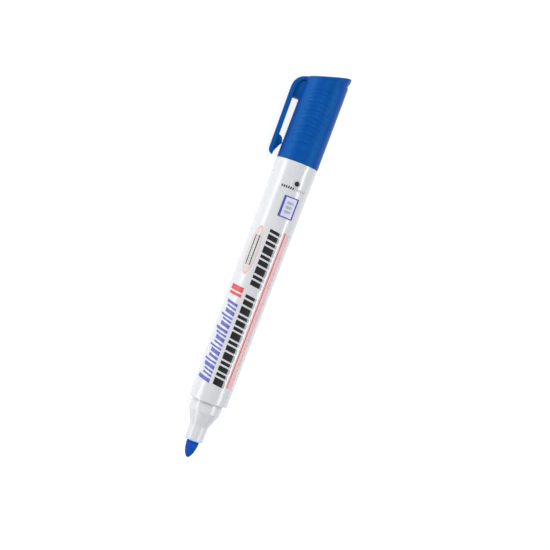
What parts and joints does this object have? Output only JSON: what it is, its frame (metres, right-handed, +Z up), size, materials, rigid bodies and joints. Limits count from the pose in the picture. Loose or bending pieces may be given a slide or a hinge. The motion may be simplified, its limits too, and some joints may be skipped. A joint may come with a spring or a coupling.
{
  "type": "felt tip marker",
  "caption": "Bullet-nib whiteboard marker with a white tapered barrel and a blue clip cap pushed onto its tail.",
  "frame": {"origin": "on the table, under the middle of the marker's box as it lies", "axes": "+X along the axis from the cap to the nib, +Z up; the marker lies on its cap with the clip down on the -Y side"},
  "size_m": [0.1562, 0.0208, 0.0165],
  "materials": {
    "white_plastic": "glossy moulded polypropylene",
    "blue_plastic": "satin-gloss moulded polypropylene",
    "blue_fibre": "bonded polyester fibre wet with ink",
    "reservoir_fibre": "soft bonded fibre soaked with ink",
    "film": "thin clear film",
    "seal_plastic": "soft natural polyethylene",
    "print_ink": "screen-printed ink"
  },
  "bodies": {
    "barrel": {"barrel": "white_plastic", "nib_holder": "white_plastic", "reservoir_core": "reservoir_fibre", "reservoir_sleeve": "film", "tail_plug": "white_plastic"},
    "nib": {"nib": "blue_fibre"},
    "cap": {"cap_shell": "blue_plastic", "cap_inner_seal": "seal_plastic"},
    "clip": {"cap_clip": "blue_plastic"}
  },
  "joints": [
    {"name": "cap_slide", "type": "slide", "parent": "barrel", "child": "cap", "axis": [-1, 0, 0], "range_m": [0, 0.03]},
    {"name": "clip_flex", "type": "hinge", "parent": "cap", "child": "clip", "pos_m": [-0.06415, -0.00904, 0.00271], "axis": [0, 0.4425, -0.8968], "range_deg": [0, 5], "stiffness_Nm_per_rad": 0.45},
    {"name": "nib_slide", "type": "slide", "parent": "barrel", "child": "nib", "axis": [1, 0, 0], "range_m": [0, 0.035]}
  ]
}
